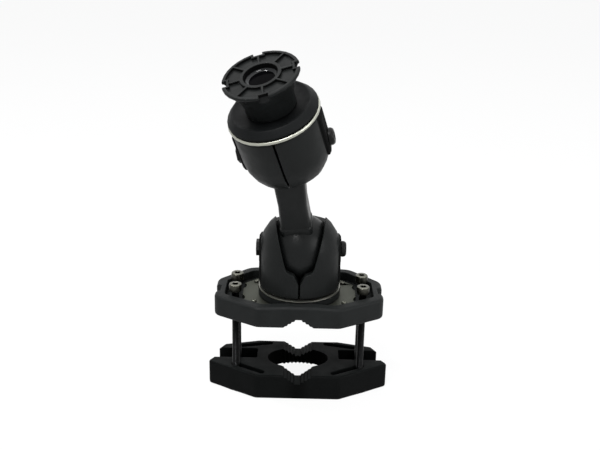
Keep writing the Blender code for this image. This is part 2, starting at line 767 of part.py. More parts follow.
def shell_half(name, side, seat, grooved):
    """One half of a turret: a skirt and dome round the ball, with its pad, openings and screw hole."""
    base = -seat
    dome = arc(SHELL_R, 0, 90, DOME_STEPS)
    profile = [(0, base), (SHELL_R - EDGE, base), (SHELL_R, base + EDGE)]
    profile += dome[:-1] + [(0, SHELL_R)]
    shell = turned(name, profile)
    combine(shell, side_pad(side, seat, grooved), "UNION")
    ball_space = arc(SOCKET_R, -90, 90, 2 * DOME_STEPS)
    ball_space = [(0, -SOCKET_R)] + ball_space[1:-1] + [(0, SOCKET_R)]
    combine(shell, turned("socket", ball_space, BALL_ROUND))
    throat_r = UPSTAND_IN_R + UPSTAND_WALL + HOLE_PLAY
    lip_low = base + LIP_Z - SEAT_GAP
    lip_high = base + LIP_Z + LIP_T + SEAT_GAP
    combine(shell, turned("lip_space", [
        (0, base - EDGE),
        (throat_r, base - EDGE),
        (throat_r, lip_low),
        (LIP_R + HOLE_PLAY, lip_low),
        (LIP_R + HOLE_PLAY, lip_high),
        (0, lip_high),
    ]))
    combine(shell, extruded("front_opening", u_outline(), -2 * SHELL_R, EDGE, "Y"))
    rear = [
        (-1.2 * SHELL_R, REAR_OPEN_Z),
        (1.2 * SHELL_R, REAR_OPEN_Z),
        (1.2 * SHELL_R, 2 * SHELL_R),
        (-1.2 * SHELL_R, 2 * SHELL_R),
    ]
    half_open = U_TOP_HALF
    rear = [(max(-half_open, min(half_open, x)), z) for x, z in rear]
    combine(shell, extruded("rear_opening", rear, -2 * EDGE, 2 * SHELL_R, "Y"))
    hole = round_bar("hole", CROSS_R + HOLE_PLAY, -2 * SHELL_R, 2 * SHELL_R, "X")
    combine(shell, hole)
    if side < 0:
        pocket = extruded("pocket", hexagon(CROSS_NUT_ACROSS + 2 * HOLE_PLAY),
                          -2 * PAD_X, CROSS_NUT_SUNK - PAD_X, "X")
        combine(shell, pocket)
    other = -side * 2 * SHELL_R
    cut_x = side * SPLIT / 2
    keep_out = [(cut_x, -2 * SHELL_R), (other, -2 * SHELL_R), (other, 2 * SHELL_R), (cut_x, 2 * SHELL_R)]
    combine(shell, extruded("other_half", keep_out, -2 * SHELL_R, 2 * SHELL_R))
    return shell


def build_turret(prefix, seat, ring_t, grooved, ring_colour, parent):
    """Two half shells, their ring, and the cross screw with its nut and bush, about the ball's centre."""
    for side, word in ((-1, "left"), (1, "right")):
        name = f"{prefix}_shell_{word}"
        finish(shell_half(name, side, seat, grooved), black_plastic(name, 0.026), parent)
    build_ring(f"{prefix}_ring", seat, ring_t, steel(f"{prefix}_ring", ring_colour), parent)
    head_x = PAD_X + SEAT_GAP
    nut_x = PAD_X - CROSS_NUT_SUNK + SEAT_GAP
    length = head_x + nut_x + CROSS_NUT_H
    screw = cap_screw(f"{prefix}_screw", CROSS_R, length, CROSS_HEAD_R, CROSS_HEAD_H,
                      CROSS_HEX, CROSS_HEX_DEPTH)
    to_right = Matrix.Rotation(math.radians(90), 4, "Y")
    screw_place = Matrix.Translation((head_x, 0, 0)) @ to_right
    finish(screw, black_plastic(f"{prefix}_screw", 0.03), parent, screw_place)
    nut = hex_nut(f"{prefix}_nut", CROSS_NUT_ACROSS, CROSS_NUT_H, CROSS_R + HOLE_PLAY)
    # The nut's flats line up with those of its pocket, whose outline lies in the (y, z) plane.
    to_left = Matrix.Rotation(math.radians(-90), 4, "Y") @ Matrix.Rotation(math.radians(90), 4, "Z")
    nut_place = Matrix.Translation((-nut_x, 0, 0)) @ to_left
    finish(nut, black_plastic(f"{prefix}_nut", 0.03), parent, nut_place)


def build_bush(name, parent):
    """The ball-shaped bush on a cross screw, inside the ball."""
    reach = math.degrees(math.asin(BUSH_HALF / BUSH_R))
    bore_r = CROSS_R + HOLE_PLAY
    outside = arc(BUSH_R, -reach, reach, 6)
    profile = [(bore_r, -BUSH_HALF)] + outside + [(bore_r, BUSH_HALF)]
    bush = turned(name, profile, SMALL_ROUND, "X")
    finish(bush, steel(name, (0.5, 0.38, 0.2)), parent)


def ball_solid(name):
    middle = arc(BALL_R, -90, 90, 2 * DOME_STEPS)
    return turned(name, [(0, -BALL_R)] + middle[1:-1] + [(0, BALL_R)], BALL_ROUND)


def ball_bore():
    """The space in a ball for its bush, with a mouth each side that spreads so the ball can lean."""
    seat_r = BUSH_R + SEAT_GAP
    waist = BUSH_HALF + SEAT_GAP
    reach = math.degrees(math.asin(waist / seat_r))
    mouth_x = BALL_R + EDGE
    profile = [(0, -mouth_x), (BORE_MOUTH_R, -mouth_x)]
    profile += arc(seat_r, -reach, reach, 6)
    profile += [(BORE_MOUTH_R, mouth_x), (0, mouth_x)]
    return turned("bore", profile, SMALL_ROUND, "X")


def arm_section(half_w, half_d, height):
    corners = [
        (-half_w, -half_d, ARM_CHAMFER),
        (half_w, -half_d, ARM_CHAMFER),
        (half_w, half_d, ARM_CHAMFER),
        (-half_w, half_d, ARM_CHAMFER),
    ]
    return at_height(rounded(corners), height)


def build_ball_arm(parent):
    """The arm and its two balls, one moulding, from the lower ball's centre along +Z."""
    shoulder = math.sqrt(BALL_R**2 - ARM_HALF_D**2) + ARM_COLLAR_H
    hidden = 0.5 * BALL_R
    middle = ARM_LENGTH / 2
    step_w = ARM_HALF_W + ARM_COLLAR_STEP
    step_d = ARM_HALF_D + ARM_COLLAR_STEP
    lower = [
        (step_w, step_d, hidden),
        (step_w, step_d, shoulder),
        (ARM_HALF_W, ARM_HALF_D, shoulder + ARM_COLLAR_STEP),
    ]
    waist = [(ARM_WAIST_HALF_W, ARM_HALF_D, middle)]
    upper = [(w, d, ARM_LENGTH - z) for w, d, z in reversed(lower)]
    arm = loft("ball_arm", [arm_section(w, d, z) for w, d, z in lower + waist + upper])
    combine(arm, ball_solid("lower_ball"), "UNION")
    far_ball = ball_solid("upper_ball")
    far_ball.data.transform(Matrix.Translation((0, 0, ARM_LENGTH)))
    combine(arm, far_ball, "UNION")
    combine(arm, ball_bore())
    far_bore = ball_bore()
    far_bore.data.transform(Matrix.Translation((0, 0, ARM_LENGTH)))
    combine(arm, far_bore)
    finish(arm, black_plastic("ball_arm", 0.016), parent)


def build_head(parent):
    """Collar, lock disc and plug above the upper turret, about the head's own axis."""
    collar_z = HEAD_SEAT + HEAD_RING_T + 2 * SEAT_GAP
    recess_r = SHELL_R - SHELL_WALL + HOLE_PLAY
    recess_top = collar_z + HEAD_FLANGE_T + SEAT_GAP
    dish_z = collar_z + COLLAR_H - DISH_DEPTH
    collar = turned("head_collar", [
        (COLLAR_R - EDGE / 2, collar_z),
        (COLLAR_R, collar_z + EDGE / 2),
        (COLLAR_R, collar_z + COLLAR_LAND),
        (COLLAR_TOP_R, collar_z + COLLAR_H - EDGE / 2),
        (COLLAR_TOP_R - EDGE, collar_z + COLLAR_H),
        (0.55 * COLLAR_TOP_R + 0.45 * DISH_R, dish_z + 0.35 * DISH_DEPTH),
        (DISH_R, dish_z),
        (COLLAR_HOLE_R, dish_z),
        (COLLAR_HOLE_R, recess_top),
        (recess_r, recess_top),
        (recess_r, collar_z),
    ])
    finish(collar, black_plastic("head_collar", 0.02), parent)
    build_lock_disc(parent, collar_z, dish_z)


def pocket_outline(number):
    """One shallow pocket of the disc's face, between two spokes, which steps round the notch beside it."""
    share = 360 / DISC_POCKETS
    low = math.degrees(DISC_TURN) + number * share
    high = low + share
    step_r = DISC_R - NOTCH_DEPTH - SPOKE_W
    clear = NOTCH_W / 2 + SPOKE_W

    def beside(spoke, radius, width):
        turn = math.degrees(width / radius)
        return spoke + turn if spoke == low else spoke - turn

    def corner(spoke, radius, width):
        return arc(radius, beside(spoke, radius, width), 0, 1)[0]

    notched = low if number % 2 == 0 else high
    step = [
        corner(notched, POCKET_OUT_R, clear),
        corner(notched, step_r, clear),
        corner(notched, step_r, SPOKE_W / 2),
    ]
    plain = low if notched == high else high
    edge = [corner(plain, POCKET_OUT_R, SPOKE_W / 2)]
    first, last = (step, edge) if notched == low else (edge, step)
    starts = beside(low, POCKET_OUT_R, clear if notched == low else SPOKE_W / 2)
    ends = beside(high, POCKET_OUT_R, clear if notched == high else SPOKE_W / 2)
    rim = arc(POCKET_OUT_R, starts, ends, 3)[1:-1]
    hub_low = beside(low, POCKET_IN_R, SPOKE_W / 2)
    hub_high = beside(high, POCKET_IN_R, SPOKE_W / 2)
    return list(reversed(first)) + rim + last + arc(POCKET_IN_R, hub_high, hub_low, 3)


def build_lock_disc(parent, collar_z, dish_z):
    top = collar_z + DISC_TOP
    under = top - DISC_T
    foot = dish_z + SEAT_GAP
    reach = DISC_R - EDGE - NECK_R
    straight = NECK_STRAIGHT * (under - foot)
    flare = [
        (NECK_R + reach * share**NECK_CURVE, foot + straight + (under - foot - straight) * share)
        for share in (0.0, 0.3, 0.55, 0.8, 1.0)
    ]
    disc = turned("lock_disc", [
        (0, foot),
        (NECK_R, foot),
        *flare,
        (DISC_R, under + EDGE / 2),
        (DISC_R, top - EDGE / 2),
        (DISC_R - EDGE / 2, top),
        (0, top),
    ])
    plug_floor = top - PLUG_SUNK - PLUG_T
    combine(disc, round_bar("plug_hole", PLUG_HOLE_R, plug_floor, top + EDGE, sides=BALL_ROUND))
    for number in range(DISC_NOTCHES):
        bite = extruded("bite", [
            (DISC_R - NOTCH_DEPTH, -NOTCH_W / 2),
            (2 * DISC_R, -NOTCH_W / 2),
            (2 * DISC_R, NOTCH_W / 2),
            (DISC_R - NOTCH_DEPTH, NOTCH_W / 2),
        ], top - NOTCH_H, top + EDGE)
        bite.data.transform(Matrix.Rotation(DISC_TURN + 2 * math.pi * number / DISC_NOTCHES, 4, "Z"))
        combine(disc, bite)
    for number in range(DISC_POCKETS):
        combine(disc, extruded("pocket", pocket_outline(number), top - DISC_POCKET_DEPTH, top + EDGE))
    finish(disc, black_plastic("lock_disc", 0.04), parent)
    plug_r = PLUG_HOLE_R - HOLE_PLAY
    plug_top = top - PLUG_SUNK
    plug = turned("centre_plug", [
        (0, plug_floor + SEAT_GAP),
        (plug_r, plug_floor + SEAT_GAP),
        (plug_r, plug_top - PLUG_CROWN),
        (0.9 * plug_r, plug_top - 0.62 * PLUG_CROWN),
        (0.66 * plug_r, plug_top - 0.26 * PLUG_CROWN),
        (0.34 * plug_r, plug_top - 0.06 * PLUG_CROWN),
        (0, plug_top),
    ], BALL_ROUND)
    finish(plug, material("centre_plug", (0.006, 0.006, 0.007), 0.12, 0.0), parent)


def build_mount():
    build_lower_jaw()
    build_jaw_nuts()
    build_upper_jaw()
    build_base_plate()
    build_plate_screws()
    build_jaw_bolts()
    turret = empty("turret_axis", place=Matrix.Translation((0, 0, BALL_Z)))
    build_flange("turret_flange", TURRET_SEAT, TURRET_RING_T, FLANGE_T, FLANGE_R,
                 black_plastic("turret_flange"), turret)
    build_turret("turret", TURRET_SEAT, TURRET_RING_T, True, (0.6, 0.6, 0.57), turret)
    tilt = empty("tilt_axis", turret, Matrix.Rotation(ARM_TILT, 4, "X"))
    build_bush("turret_bush", tilt)
    arm_axis = empty("arm_axis", tilt, Matrix.Rotation(ARM_LEAN, 4, "Y"))
    build_ball_arm(arm_axis)
    far_end = Matrix.Translation((0, 0, ARM_LENGTH))
    lean = empty("lean_axis", arm_axis, far_end @ Matrix.Rotation(HEAD_LEAN, 4, "Y"))
    build_bush("head_bush", lean)
    head = empty("head_axis", lean, Matrix.Rotation(HEAD_TILT, 4, "X"))
    upside_down = empty("head_socket", head, Matrix.Rotation(math.pi, 4, "X"))
    build_turret("head", HEAD_SEAT, HEAD_RING_T, False, (0.78, 0.77, 0.72), upside_down)
    build_flange("head_flange", HEAD_SEAT, HEAD_RING_T, HEAD_FLANGE_T, SOCKET_R,
                 black_plastic("head_flange"), upside_down)
    build_head(head)


build_mount()
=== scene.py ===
"""Looks of the phone mount: materials, softened edges, fasteners, light, floor and camera."""

import json
import math

import bmesh
import bpy
from mathutils import Matrix, Vector


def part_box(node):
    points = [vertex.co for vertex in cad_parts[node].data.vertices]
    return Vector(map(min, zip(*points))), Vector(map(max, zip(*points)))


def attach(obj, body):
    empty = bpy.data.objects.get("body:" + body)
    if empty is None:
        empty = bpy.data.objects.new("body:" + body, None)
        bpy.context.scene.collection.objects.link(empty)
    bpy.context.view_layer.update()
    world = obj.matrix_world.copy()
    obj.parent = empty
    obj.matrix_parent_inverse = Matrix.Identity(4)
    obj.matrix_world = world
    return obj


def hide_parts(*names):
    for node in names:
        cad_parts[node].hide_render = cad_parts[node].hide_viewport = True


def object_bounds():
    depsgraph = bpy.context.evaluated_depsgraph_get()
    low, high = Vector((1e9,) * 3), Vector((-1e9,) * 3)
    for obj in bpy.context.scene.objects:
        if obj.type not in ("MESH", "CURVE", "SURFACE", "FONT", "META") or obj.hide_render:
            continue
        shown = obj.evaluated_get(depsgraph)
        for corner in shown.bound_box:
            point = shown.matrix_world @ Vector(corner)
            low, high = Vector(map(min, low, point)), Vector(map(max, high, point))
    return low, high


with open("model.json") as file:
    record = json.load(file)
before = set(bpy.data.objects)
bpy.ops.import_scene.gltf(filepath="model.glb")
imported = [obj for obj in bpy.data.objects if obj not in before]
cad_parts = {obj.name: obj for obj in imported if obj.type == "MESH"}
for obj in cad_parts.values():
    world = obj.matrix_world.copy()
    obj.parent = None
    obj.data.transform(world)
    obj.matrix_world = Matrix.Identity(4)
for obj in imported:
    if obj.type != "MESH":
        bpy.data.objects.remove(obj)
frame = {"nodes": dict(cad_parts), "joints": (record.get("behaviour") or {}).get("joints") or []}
cad_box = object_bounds()

MM = 0.001
UP = (0, 0, 1)

# Camera, fitted to the photograph.
PHOTO_WIDTH_PX = 600
FOCAL_PX = 865.9
SENSOR_MM = 36.0
CAMERA_AT = Vector((1.0, -432.5, 226.1)) * MM
LOOKS_AT = Vector((-0.33, 0.0, 64.06)) * MM
CAMERA_ROLL = math.radians(1.21)
CAMERA_NEAR = 0.01

# Studio, in metres and watts. A lamp is a name, a place, a side length and a power.
LAMPS = (
    ("key", (-0.22, -0.55, 0.9), 0.3, 7.0),
    ("fill", (0.75, -0.45, 0.4), 0.5, 3.5),
    ("top", (0.05, 0.2, 1.0), 1.2, 5.0),
    ("spark", (-0.52, 0.05, 1.0), 0.08, 3.0),
)
LAMPS_AIM = (0, 0, 0.08)
FLOOR_REACH = 3.0
FLOOR_COLOUR = (0.88, 0.88, 0.88, 1)
FLOOR_ROUGHNESS = 0.9
FLOOR_WHITE = 0.9
AMBIENT_COLOUR = (0.96, 0.98, 1.0, 1)
AMBIENT_STRENGTH = 0.45
WORLD_WHITE = 1.0

# Softened edges of the mouldings and the metal pieces.
SHARP = math.radians(35)
FLAT = math.radians(0.5)
WELD_WITHIN = 0.002 * MM
LEAST_EDGE = 0.6 * MM
EDGE_SEGMENTS = 2
MOULDED_EDGE = 0.45 * MM
FINE_EDGE = 0.25 * MM
METAL_EDGE = 0.15 * MM
RING_EDGE = 0.32 * MM

# Fasteners in general, and their hexagon sockets.
FASTENER_NUMBERS = range(1, 5)
SEGMENTS = 48
SOCKET_CHAMFER = 0.12 * MM
SOCKET_POINT_R = 0.1  # of the hexagon's width
SOCKET_POINT_DEPTH = 1.25  # of the socket's depth

# Jaw bolts. The cap's edge is a share of its height; rings on it are inward and down, in edges.
BOLT_R = 2.0 * MM
BOLT_HEAD_H = 4.0 * MM
BOLT_HEX = 3.0 * MM
BOLT_HEX_DEPTH = 2.2 * MM
BOLT_PLAIN = 12.0 * MM
BOLT_CHAMFER = 0.12 * MM
KNURL = 0.09 * MM
CAP_EDGE = 0.1
CAP_KNURL_TO = 2.2
CAP_EDGE_RINGS = ((0.0, 1.8), (0.35, 0.5), (1.1, 0.0))
# The tip's rings are a share of the radius, and a rise.
BOLT_TIP_RINGS = ((0.6, 0.0), (0.78, 0.0), (0.82, 0.9 * MM), (0.6, 1.0 * MM))

# Thread of the jaw bolts. A row is a share of the depth below the crest, and of the pitch.
THREAD_PITCH = 0.7 * MM
THREAD_DEPTH = 0.36 * MM
THREAD_ROWS = ((1.0, 0.0), (0.12, 0.42), (0.12, 0.6))
THREAD_SEGMENTS = 14
THREAD_ABOVE_TIP = 0.5 * MM
THREAD_INTO_PLAIN = 1.2 * MM
THREAD_WELD = 0.0005 * MM

# Jaw nuts.
NUT_FLAT_R = 0.47  # of the width across flats
NUT_SLOPE = math.tan(math.radians(30))
NUT_BORE_R = 2.3 * MM
NUT_CHAMFER = 0.35 * MM

# Cross screws, with domed heads. Steps are shares of the dome's quarter turn.
CROSS_R = 2.5 * MM
CROSS_TIP = 0.25 * MM
CROSS_BRIM = 0.1 * MM
CROSS_HEAD_H = 2.6 * MM
CROSS_HEX = 4.0 * MM
CROSS_HEX_DEPTH = 1.6 * MM
DOME_STEPS = (0.12, 0.3, 0.5, 0.7, 0.88, 1.0)
DOME_FROM = 0.25
DOME_NARROWS = 0.34

# Plate screws. Rings are shares of the head's radius and height; shank and tip, of that radius.
PLATE_SEGMENTS = 32
PLATE_HEAD_H = 0.8 * MM
PLATE_BRIM = 0.05 * MM
PLATE_HEAD_RINGS = ((1.0, 0.3), (0.94, 0.6), (0.82, 0.85))
PLATE_SHANK = 0.58
PLATE_TIP = 0.5
PLATE_TIP_H = 0.15 * MM
PLATE_RECESS = 1.1 * MM
PLATE_RECESS_NECK = 0.55
PLATE_RECESS_POWER = 3
PLATE_RECESS_LIP = 0.05 * MM
PLATE_RECESS_WIDEST = 0.8
PLATE_RECESS_WALL = (0.9, 0.08 * MM)
PLATE_RECESS_FLOOR = (0.6, 0.5 * MM)

# Centre plug, sunk below the disc's face.
PLUG_SEGMENTS = 64
PLUG_FOOT = 0.3 * MM
PLUG_BRIM = 0.1 * MM
PLUG_RIM_DEPTH = 2.3 * MM
PLUG_FLOOR_DEPTH = 3.0 * MM
PLUG_RIM_W = 0.3 * MM
PLUG_RIM_IN = 0.35 * MM
PLUG_FILLET = 2.2 * MM
PLUG_FILLET_STEPS = 12
PLUG_CROWN = ((0.5, 0.05 * MM), (0.05, 0.08 * MM))  # share of the dish's radius, rise

# Places on the mouldings that are painted in shade, and how faces there lie to an axis.
TURRET_PAD_FROM = 20.6 * MM
HEAD_PAD_FROM = 20.0 * MM
PAD_BLEND = 0.25 * MM
JAW_HOLE_TO = 20.0 * MM
JAW_HOLE_BLEND = 1.5 * MM
JAW_HOLE_WALLS = (0.3, 0.6)
HOLE_WALL = 8.25 * MM
HOLE_LIP = 8.45 * MM
POCKETS_TO = 17.0 * MM
POCKETS_BLEND = 0.2 * MM
POCKETS_DEEP = 1.5 * MM
POCKETS_DEEP_BLEND = 0.1 * MM
POCKET_WALLS = (0.5, 0.85)

# Noises of the finishes, as a scale per metre and a detail.
NOISE_LOW, NOISE_HIGH = 0.3, 0.7
MOTTLE_NOISE = (90, 4)
DUST_AND_TOP_LIGHT_NOISE = (240, 4)
RUB_NOISE = (420, 2)
SHEEN_NOISE = (160, 5)
GRAIN_NOISE = (4200, 2)
SMEAR_NOISE = (140, 4)
PEEL_NOISE = (300, 1)
STREAK_NOISE = (700, 3)
HANDLING_NOISE = (70, 4)
PATCH_NOISE = (160, 4)

# How streaks are drawn out on the metal pieces, as scales along X, Y and Z.
RING_STREAKS = (1, 1, 30)
PLATE_STREAKS = (2, 40, 1)
BOLT_STREAKS = (1, 1, 20)
SCREW_STREAKS = (20, 1, 1)

# Wear on edges, and painted shade in creases.
BEVEL_SAMPLES = 6
WORN_TURN = (0.86, 0.995)
CREASE_SAMPLES = 8
CREASE_OPEN = (0.25, 0.8)
CREASE_DEPTH = 3.0 * MM

# Finishes. Plain numbers are factors of a colour, unless their names say otherwise.
PLAIN_GLOSS = 0.5
MOTTLE_LOW, MOTTLE_HIGH = 0.82, 1.08
# Level faces: a dusty film together with painted light from above.
LEVEL_FACES = (0.8, 0.98)
DUST_AND_TOP_LIGHT_LEAST = 0.6
PLASTIC_WORN_EDGE = 0.5 * MM
RUB_LEAST = 0.2
SHEEN_BELOW, SHEEN_ABOVE = 0.07, 0.09
# Factor of the colour where painted shade fills a recess.
PAINTED_SHADE = 0.12
GRAIN_HEIGHT = 0.03 * MM
POLISHED_ROUGHNESS = 0.1
SMEAR = 2.0
SMEAR_ROUGHNESS = (0.05, 0.16)
PEEL_STRENGTH = 0.05
PEEL_HEIGHT = 0.1 * MM
HANDLED = 0.78
METAL_WORN_EDGE = 0.2 * MM
METAL_WORN = 1.35
STREAK_BELOW, STREAK_ABOVE = 0.08, 0.12
STREAK_STRENGTH = 0.18
STREAK_HEIGHT = 0.02 * MM
BOLT_ROUGHNESS = 0.3
BOLT_STREAK_ROUGHNESS = (0.22, 0.42)
BOLT_NECK_BLEND = 0.2 * MM
# Painted light on the bolt heads' tops, painted shade on their sides, painted glints on worn edges.
BOLT_LIT_TOP_FACES = (0.45, 0.9)
BOLT_SHADED_SIDE_LOW, BOLT_SHADED_SIDE_HIGH, BOLT_PAINTED_TOP_LIGHT, BOLT_WEAR_AND_GLINT = 0.3, 0.6, 1.25, 2.0
# Shank patches in tone, and painted shade in creases round the bolts.
SHANK_PATCH, SHANK_CREASE_SHADE = 0.6, 0.5

# Colours, linear.
LOWER_JAW_BLACK = (0.0030, 0.0034, 0.0034)
UPPER_JAW_CHARCOAL = (0.0098, 0.0109, 0.0109)
SHELL_CHARCOAL = (0.0073, 0.0082, 0.0081)
ARM_BLACK = (0.0060, 0.0068, 0.0068)
COLLAR_BLACK = (0.0050, 0.0057, 0.0060)
DISC_GREY = (0.0072, 0.0081, 0.0080)
PLUG_FACE_BLACK = (0.0009, 0.0009, 0.0011)
# The rim is a paler copy of the plug's black: painted sheen on top of its real gloss.
PLUG_RIM_PAINTED_SHEEN = (0.010, 0.0105, 0.011)
RING_SILVER = (0.41, 0.415, 0.36)
# The lower ring: the same silver, painted in shade.
RING_SILVER_SHADED = (0.265, 0.267, 0.235)
PLATE_GREY = (0.078, 0.082, 0.067)
PLATE_SCREW_GREY = (0.145, 0.147, 0.125)
BOLT_HEAD_GREY = (0.112, 0.112, 0.095)
BOLT_SHANK_BLACK = (0.018, 0.0185, 0.019)
NUT_GREY = (0.30, 0.29, 0.26)
OXIDE_BLACK = (0.013, 0.013, 0.013)
BRASS = (0.52, 0.40, 0.2)

# The Mix node's sockets for colours.
MIX_FIRST, MIX_SECOND, MIX_RESULT = 6, 7, 2


class Shader:
    """A Principled material with short calls for the nodes that its looks need."""

    def __init__(self, name, roughness, metallic=0.0, gloss=PLAIN_GLOSS):
        self.material = bpy.data.materials.new(name)
        self.material.use_nodes = True
        self.tree = self.material.node_tree
        self.principled = self.tree.nodes["Principled BSDF"]
        self.principled.inputs["Roughness"].default_value = roughness
        self.principled.inputs["Metallic"].default_value = metallic
        self.principled.inputs["Specular IOR Level"].default_value = gloss
        coordinates = self.add("ShaderNodeTexCoord")
        self.place = coordinates.outputs["Object"]
        self.facing = coordinates.outputs["Normal"]

    def add(self, kind, **settings):
        node = self.tree.nodes.new(kind)
        for key, value in settings.items():
            setattr(node, key, value)
        return node

    def link(self, source, target):
        self.tree.links.new(source, target)

    def put(self, value, socket):
        self.link(value, self.principled.inputs[socket])

    def noise(self, scale, detail, stretch=(1, 1, 1)):
        mapping = self.add("ShaderNodeMapping")
        mapping.inputs["Scale"].default_value = stretch
        self.link(self.place, mapping.inputs["Vector"])
        noise = self.add("ShaderNodeTexNoise")
        noise.inputs["Scale"].default_value = scale
        noise.inputs["Detail"].default_value = detail
        self.link(mapping.outputs["Vector"], noise.inputs["Vector"])
        return noise.outputs["Fac"]

    def spread(self, value, low, high, from_low=NOISE_LOW, from_high=NOISE_HIGH):
        """Maps a value from one range to another, and holds it there."""
        node = self.add("ShaderNodeMapRange")
        node.inputs["From Min"].default_value = from_low
        node.inputs["From Max"].default_value = from_high
        node.inputs["To Min"].default_value = low
        node.inputs["To Max"].default_value = high
        self.link(value, node.inputs["Value"])
        return node.outputs["Result"]

    def maths(self, operation, first, second=None):
        node = self.add("ShaderNodeMath", operation=operation)
        self.link(first, node.inputs[0])
        if second is not None:
            self.link(second, node.inputs[1])
        return node.outputs["Value"]

    def times(self, first, second):
        return self.maths("MULTIPLY", first, second)

    def mix(self, factor, first, second):
        """Mixes two colours, each a tuple or an output."""
        node = self.add("ShaderNodeMix", data_type="RGBA")
        self.link(factor, node.inputs["Factor"])
        for value, socket in ((first, node.inputs[MIX_FIRST]), (second, node.inputs[MIX_SECOND])):
            if isinstance(value, tuple):
                socket.default_value = (*value, 1.0)
            else:
                self.link(value, socket)
        return node.outputs[MIX_RESULT]

    def worn_edges(self, radius):
        """The normal rounded over edges, and a mask that rises to 1 where it turns sharply."""
        bevel = self.add("ShaderNodeBevel", samples=BEVEL_SAMPLES)
        bevel.inputs["Radius"].default_value = radius
        geometry = self.add("ShaderNodeNewGeometry")
        dot = self.add("ShaderNodeVectorMath", operation="DOT_PRODUCT")
        self.link(bevel.outputs["Normal"], dot.inputs[0])
        self.link(geometry.outputs["Normal"], dot.inputs[1])
        return bevel.outputs["Normal"], self.spread(dot.outputs["Value"], 1.0, 0.0, *WORN_TURN)

    def creases(self, distance):
        """A mask that falls to 0 deep in corners and gaps, where little light gets in."""
        occlusion = self.add("ShaderNodeAmbientOcclusion", samples=CREASE_SAMPLES)
        occlusion.inputs["Distance"].default_value = distance
        return self.spread(occlusion.outputs["AO"], 0.0, 1.0, *CREASE_OPEN)

    def vector(self, operation, first, second, output="Vector"):
        node = self.add("ShaderNodeVectorMath", operation=operation)
        self.link(first, node.inputs[0])
        if second is not None:
            node.inputs[1].default_value = second
        return node.outputs[output]

    def along_axis(self, point, axis):
        """Distance from a point along an axis, to either side."""
        offset = self.vector("SUBTRACT", self.place, point)
        return self.maths("ABSOLUTE", self.vector("DOT_PRODUCT", offset, axis, "Value"))

    def facing_axis(self, axis):
        """1 on faces that lie across an axis, 0 on faces along it; it moves with the piece."""
        return self.maths("ABSOLUTE", self.vector("DOT_PRODUCT", self.facing, axis, "Value"))

    def from_axis(self, point, axis):
        """Distance from an axis through a point."""
        offset = self.vector("SUBTRACT", self.place, point)
        across = self.vector("CROSS_PRODUCT", offset, axis)
        return self.vector("LENGTH", across, None, "Value")

    def bump(self, height, strength, distance, normal=None):
        node = self.add("ShaderNodeBump")
        node.inputs["Strength"].default_value = strength
        node.inputs["Distance"].default_value = distance
        self.link(height, node.inputs["Height"])
        if normal is not None:
            self.link(normal, node.inputs["Normal"])
        return node.outputs["Normal"]


def tint(colour, factor):
    return tuple(min(1.0, factor * channel) for channel in colour)


def moulded_plastic(name, colour, roughness, gloss, grain=0.25, worn=2.4, crease=CREASE_DEPTH,
                    crease_shade=0.3, dust_and_top_light=None, painted_shade_region=None):
    """Black moulding: a fine spark-eroded grain, uneven sheen, paler rubbed edges and painted shade
    in creases.

    worn, grime and dust are factors of the colour on edges (wear), in creases (painted shade)
    and on level faces (a dusty film together with painted light from above).
    crease is how near other faces have to be to make a crease.
    darker, where given, makes a mask of a region painted in shade, with a duller finish.
    """
    shader = Shader(name, roughness, gloss=gloss)
    mottle = shader.spread(shader.noise(*MOTTLE_NOISE), 0.0, 1.0)
    body = shader.mix(mottle, tint(colour, MOTTLE_LOW), tint(colour, MOTTLE_HIGH))
    if dust_and_top_light is not None:
        # Painted light from above, with a dusty film: level faces turn paler in patches, by the
        # dust factor.
        level = shader.spread(shader.facing_axis(UP), 0.0, 1.0, *LEVEL_FACES)
        dust_and_top_light_mask = shader.times(level, shader.spread(shader.noise(*DUST_AND_TOP_LIGHT_NOISE), DUST_AND_TOP_LIGHT_LEAST, 1.0))
        body = shader.mix(dust_and_top_light_mask, body, tint(colour, dust_and_top_light))
    rounded, wear = shader.worn_edges(PLASTIC_WORN_EDGE)
    rubbed = shader.times(wear, shader.spread(shader.noise(*RUB_NOISE), RUB_LEAST, 1.0))
    body = shader.mix(rubbed, body, tint(colour, worn))
    patches = shader.noise(*SHEEN_NOISE)
    sheen = shader.spread(patches, roughness - SHEEN_BELOW, roughness + SHEEN_ABOVE)
    # Painted shade: a recessed region is painted near-black, and made rougher.
    if painted_shade_region is not None:
        mask = painted_shade_region(shader)
        body = shader.mix(mask, body, tint(colour, PAINTED_SHADE))
        sheen = shader.maths("MAXIMUM", sheen, mask)
    # Painted shade: deep in creases and gaps the colour falls to its grime factor.
    shader.put(shader.mix(shader.creases(crease), tint(colour, crease_shade), body), "Base Color")
    shader.put(sheen, "Roughness")
    shader.put(shader.bump(shader.noise(*GRAIN_NOISE), grain, GRAIN_HEIGHT, rounded), "Normal")
    return shader.material


def gloss_plastic(name, colour, gloss):
    """Polished black: almost smooth, with a faint orange-peel and smeared sheen."""
    shader = Shader(name, POLISHED_ROUGHNESS, gloss=gloss)
    smear = shader.noise(*SMEAR_NOISE)
    smeared = shader.spread(smear, 0.0, 1.0)
    shader.put(shader.mix(smeared, colour, tint(colour, SMEAR)), "Base Color")
    shader.put(shader.spread(smear, *SMEAR_ROUGHNESS), "Roughness")
    shader.put(shader.bump(shader.noise(*PEEL_NOISE), PEEL_STRENGTH, PEEL_HEIGHT), "Normal")
    return shader.material


